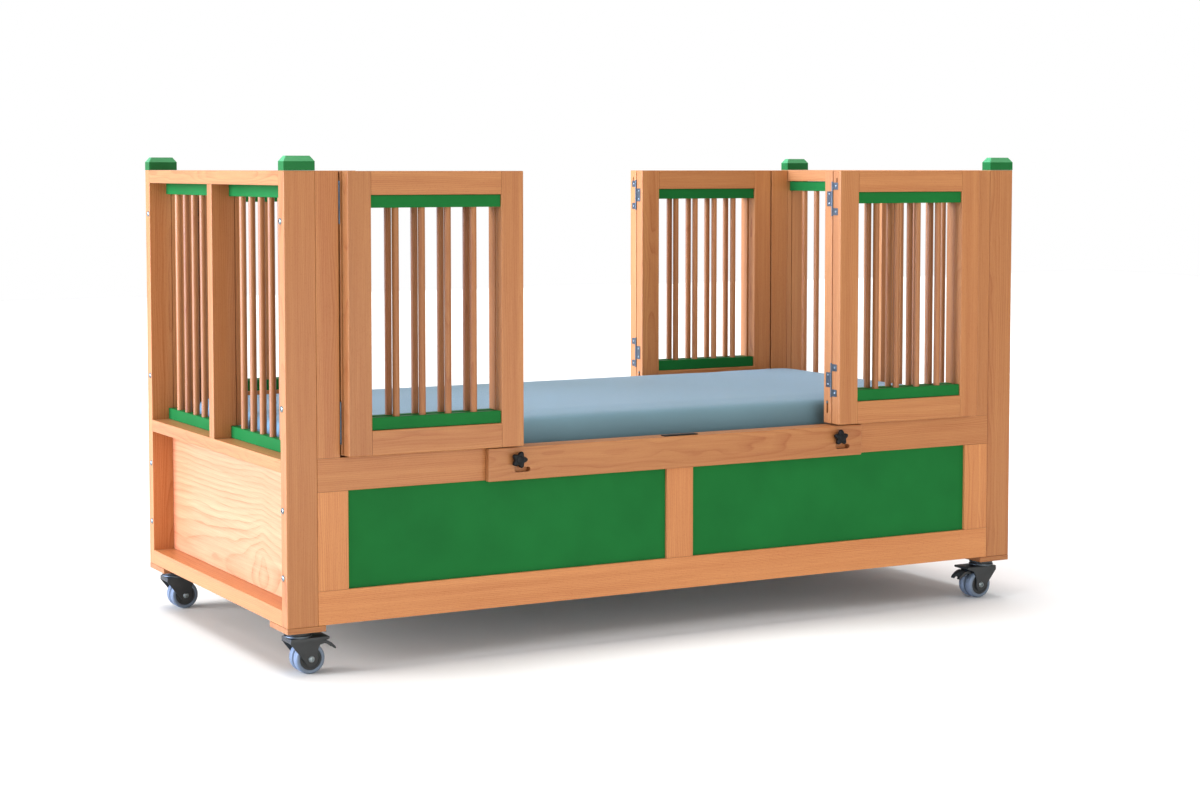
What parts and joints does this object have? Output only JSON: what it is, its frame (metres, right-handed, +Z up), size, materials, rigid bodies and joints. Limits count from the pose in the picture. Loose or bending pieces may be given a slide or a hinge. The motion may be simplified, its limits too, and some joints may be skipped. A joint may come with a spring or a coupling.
{
  "type": "adjustable hospital bed",
  "caption": "Wooden care bed with folding slatted doors, a rising lying surface, tilting back and leg sections and braked casters.",
  "frame": {"origin": "on the floor under the middle of the bed", "axes": "+X along the bed towards the foot end, -Y to the front, +Z up"},
  "size_m": [2.16, 1.13, 1.24],
  "materials": {
    "beech": "clear satin lacquer on beech",
    "green_paint": "satin paint on wood",
    "grille": "lacquered spindles in painted strips",
    "coated_steel": "powder coated",
    "mattress_cover": "matt coated knit",
    "zinc": "zinc plated",
    "black_plastic": "moulded",
    "dark_grey_plastic": "moulded",
    "grey_tyre": "grey-blue tread"
  },
  "bodies": {
    "case": {"end_frame_left": "beech", "end_frame_right": "beech", "side_frame_front": "beech", "side_frame_rear": "beech", "end_panel_left": "beech", "end_panel_right": "beech", "lock_board_front": "beech", "lock_board_rear": "beech", "side_panel_front": "green_paint", "side_panel_rear": "green_paint", "end_grille_left": "grille", "end_grille_right": "grille", "post_cap_front_left": "green_paint", "post_cap_front_right": "green_paint", "post_cap_rear_left": "green_paint", "post_cap_rear_right": "green_paint", "lift_base": "coated_steel"},
    "lift_middle": {"lift_middle_stage": "coated_steel"},
    "lying_surface": {"lying_frame": "coated_steel", "mattress_seat": "mattress_cover"},
    "back_rest": {"back_section": "coated_steel", "mattress_back": "mattress_cover"},
    "leg_rest": {"leg_section": "coated_steel", "mattress_leg": "mattress_cover"},
    "inner_leaf_front_left": {"inner_leaf_frame_front_left": "beech", "inner_leaf_grille_front_left": "grille"},
    "outer_leaf_front_left": {"outer_leaf_frame_front_left": "beech", "outer_leaf_grille_front_left": "grille"},
    "slide_bolt_front_left": {"slide_bolt_front_left": "zinc"},
    "star_knob_front_left": {"star_knob_front_left": "black_plastic"},
    "caster_fork_front_left": {"caster_fork_front_left": "dark_grey_plastic"},
    "caster_wheel_front_left": {"caster_wheel_front_left": "grey_tyre"},
    "brake_pedal_front_left": {"brake_pedal_front_left": "dark_grey_plastic"},
    "inner_leaf_front_right": {"inner_leaf_frame_front_right": "beech", "inner_leaf_grille_front_right": "grille"},
    "outer_leaf_front_right": {"outer_leaf_frame_front_right": "beech", "outer_leaf_grille_front_right": "grille"},
    "slide_bolt_front_right": {"slide_bolt_front_right": "zinc"},
    "star_knob_front_right": {"star_knob_front_right": "black_plastic"},
    "caster_fork_front_right": {"caster_fork_front_right": "dark_grey_plastic"},
    "caster_wheel_front_right": {"caster_wheel_front_right": "grey_tyre"},
    "brake_pedal_front_right": {"brake_pedal_front_right": "dark_grey_plastic"},
    "inner_leaf_rear_left": {"inner_leaf_frame_rear_left": "beech", "inner_leaf_grille_rear_left": "grille"},
    "outer_leaf_rear_left": {"outer_leaf_frame_rear_left": "beech", "outer_leaf_grille_rear_left": "grille"},
    "slide_bolt_rear_left": {"slide_bolt_rear_left": "zinc"},
    "star_knob_rear_left": {"star_knob_rear_left": "black_plastic"},
    "caster_fork_rear_left": {"caster_fork_rear_left": "dark_grey_plastic"},
    "caster_wheel_rear_left": {"caster_wheel_rear_left": "grey_tyre"},
    "brake_pedal_rear_left": {"brake_pedal_rear_left": "dark_grey_plastic"},
    "inner_leaf_rear_right": {"inner_leaf_frame_rear_right": "beech", "inner_leaf_grille_rear_right": "grille"},
    "outer_leaf_rear_right": {"outer_leaf_frame_rear_right": "beech", "outer_leaf_grille_rear_right": "grille"},
    "slide_bolt_rear_right": {"slide_bolt_rear_right": "zinc"},
    "star_knob_rear_right": {"star_knob_rear_right": "black_plastic"},
    "caster_fork_rear_right": {"caster_fork_rear_right": "dark_grey_plastic"},
    "caster_wheel_rear_right": {"caster_wheel_rear_right": "grey_tyre"},
    "brake_pedal_rear_right": {"brake_pedal_rear_right": "dark_grey_plastic"}
  },
  "joints": [
    {"name": "lift", "type": "slide", "parent": "case", "child": "lying_surface", "axis": [0, 0, 1], "range_m": [0, 0.3]},
    {"name": "lift_middle", "type": "slide", "parent": "case", "child": "lift_middle", "axis": [0, 0, 1], "range_m": [0, 0.15]},
    {"name": "back_tilt", "type": "hinge", "parent": "lying_surface", "child": "back_rest", "pos_m": [-0.2, 0, 0.4533], "axis": [0, 1, 0], "range_deg": [0, 60]},
    {"name": "leg_tilt", "type": "hinge", "parent": "lying_surface", "child": "leg_rest", "pos_m": [0.22, 0, 0.4533], "axis": [0, -1, 0], "range_deg": [0, 25]},
    {"name": "door_front_left", "type": "hinge", "parent": "case", "child": "inner_leaf_front_left", "pos_m": [-0.94125, -0.5265, 0.5265], "axis": [0, 0, -1], "range_deg": [0, 90]},
    {"name": "fold_front_left", "type": "hinge", "parent": "inner_leaf_front_left", "child": "outer_leaf_front_left", "pos_m": [-0.47, -0.5265, 0.5265], "axis": [0, 0, 1], "range_deg": [0, 180]},
    {"name": "bolt_front_left", "type": "slide", "parent": "inner_leaf_front_left", "child": "slide_bolt_front_left", "axis": [0, 0, -1], "range_m": [0, 0.025]},
    {"name": "knob_front_left", "type": "hinge", "parent": "case", "child": "star_knob_front_left", "pos_m": [-0.4815, -0.525, 0.492], "axis": [0, -1, 0], "continuous": true},
    {"name": "swivel_front_left", "type": "hinge", "parent": "case", "child": "caster_fork_front_left", "pos_m": [-1.031, -0.465, 0.104], "axis": [0, 0, 1], "continuous": true},
    {"name": "roll_front_left", "type": "hinge", "parent": "caster_fork_front_left", "child": "caster_wheel_front_left", "pos_m": [-1.0085, -0.465, 0.0375], "axis": [0, 1, 0], "continuous": true},
    {"name": "brake_front_left", "type": "hinge", "parent": "caster_fork_front_left", "child": "brake_pedal_front_left", "pos_m": [-0.977, -0.465, 0.0745], "axis": [0, 1, 0], "range_deg": [0, 8]},
    {"name": "door_front_right", "type": "hinge", "parent": "case", "child": "inner_leaf_front_right", "pos_m": [0.94125, -0.5265, 0.5265], "axis": [0, 0, 1], "range_deg": [0, 90]},
    {"name": "fold_front_right", "type": "hinge", "parent": "inner_leaf_front_right", "child": "outer_leaf_front_right", "pos_m": [0.47, -0.5265, 0.5265], "axis": [0, 0, -1], "range_deg": [0, 180]},
    {"name": "bolt_front_right", "type": "slide", "parent": "inner_leaf_front_right", "child": "slide_bolt_front_right", "axis": [0, 0, -1], "range_m": [0, 0.025]},
    {"name": "knob_front_right", "type": "hinge", "parent": "case", "child": "star_knob_front_right", "pos_m": [0.4815, -0.525, 0.492], "axis": [0, -1, 0], "continuous": true},
    {"name": "swivel_front_right", "type": "hinge", "parent": "case", "child": "caster_fork_front_right", "pos_m": [1.031, -0.465, 0.104], "axis": [0, 0, 1], "continuous": true},
    {"name": "roll_front_right", "type": "hinge", "parent": "caster_fork_front_right", "child": "caster_wheel_front_right", "pos_m": [1.0085, -0.465, 0.0375], "axis": [0, 1, 0], "continuous": true},
    {"name": "brake_front_right", "type": "hinge", "parent": "caster_fork_front_right", "child": "brake_pedal_front_right", "pos_m": [0.977, -0.465, 0.0745], "axis": [0, -1, 0], "range_deg": [0, 8]},
    {"name": "door_rear_left", "type": "hinge", "parent": "case", "child": "inner_leaf_rear_left", "pos_m": [-0.94125, 0.5265, 0.5265], "axis": [0, 0, 1], "range_deg": [0, 90]},
    {"name": "fold_rear_left", "type": "hinge", "parent": "inner_leaf_rear_left", "child": "outer_leaf_rear_left", "pos_m": [-0.47, 0.5265, 0.5265], "axis": [0, 0, -1], "range_deg": [0, 180]},
    {"name": "bolt_rear_left", "type": "slide", "parent": "inner_leaf_rear_left", "child": "slide_bolt_rear_left", "axis": [0, 0, -1], "range_m": [0, 0.025]},
    {"name": "knob_rear_left", "type": "hinge", "parent": "case", "child": "star_knob_rear_left", "pos_m": [-0.4815, 0.525, 0.492], "axis": [0, 1, 0], "continuous": true},
    {"name": "swivel_rear_left", "type": "hinge", "parent": "case", "child": "caster_fork_rear_left", "pos_m": [-1.031, 0.465, 0.104], "axis": [0, 0, 1], "continuous": true},
    {"name": "roll_rear_left", "type": "hinge", "parent": "caster_fork_rear_left", "child": "caster_wheel_rear_left", "pos_m": [-1.0085, 0.465, 0.0375], "axis": [0, 1, 0], "continuous": true},
    {"name": "brake_rear_left", "type": "hinge", "parent": "caster_fork_rear_left", "child": "brake_pedal_rear_left", "pos_m": [-0.977, 0.465, 0.0745], "axis": [0, 1, 0], "range_deg": [0, 8]},
    {"name": "door_rear_right", "type": "hinge", "parent": "case", "child": "inner_leaf_rear_right", "pos_m": [0.94125, 0.5265, 0.5265], "axis": [0, 0, -1], "range_deg": [0, 90]},
    {"name": "fold_rear_right", "type": "hinge", "parent": "inner_leaf_rear_right", "child": "outer_leaf_rear_right", "pos_m": [0.47, 0.5265, 0.5265], "axis": [0, 0, 1], "range_deg": [0, 180]},
    {"name": "bolt_rear_right", "type": "slide", "parent": "inner_leaf_rear_right", "child": "slide_bolt_rear_right", "axis": [0, 0, -1], "range_m": [0, 0.025]},
    {"name": "knob_rear_right", "type": "hinge", "parent": "case", "child": "star_knob_rear_right", "pos_m": [0.4815, 0.525, 0.492], "axis": [0, 1, 0], "continuous": true},
    {"name": "swivel_rear_right", "type": "hinge", "parent": "case", "child": "caster_fork_rear_right", "pos_m": [1.031, 0.465, 0.104], "axis": [0, 0, 1], "continuous": true},
    {"name": "roll_rear_right", "type": "hinge", "parent": "caster_fork_rear_right", "child": "caster_wheel_rear_right", "pos_m": [1.0085, 0.465, 0.0375], "axis": [0, 1, 0], "continuous": true},
    {"name": "brake_rear_right", "type": "hinge", "parent": "caster_fork_rear_right", "child": "brake_pedal_rear_right", "pos_m": [0.977, 0.465, 0.0745], "axis": [0, -1, 0], "range_deg": [0, 8]}
  ],
  "couplings": [
    {"joint": "lift_middle", "follows": "lift", "ratio": 0.5}
  ]
}
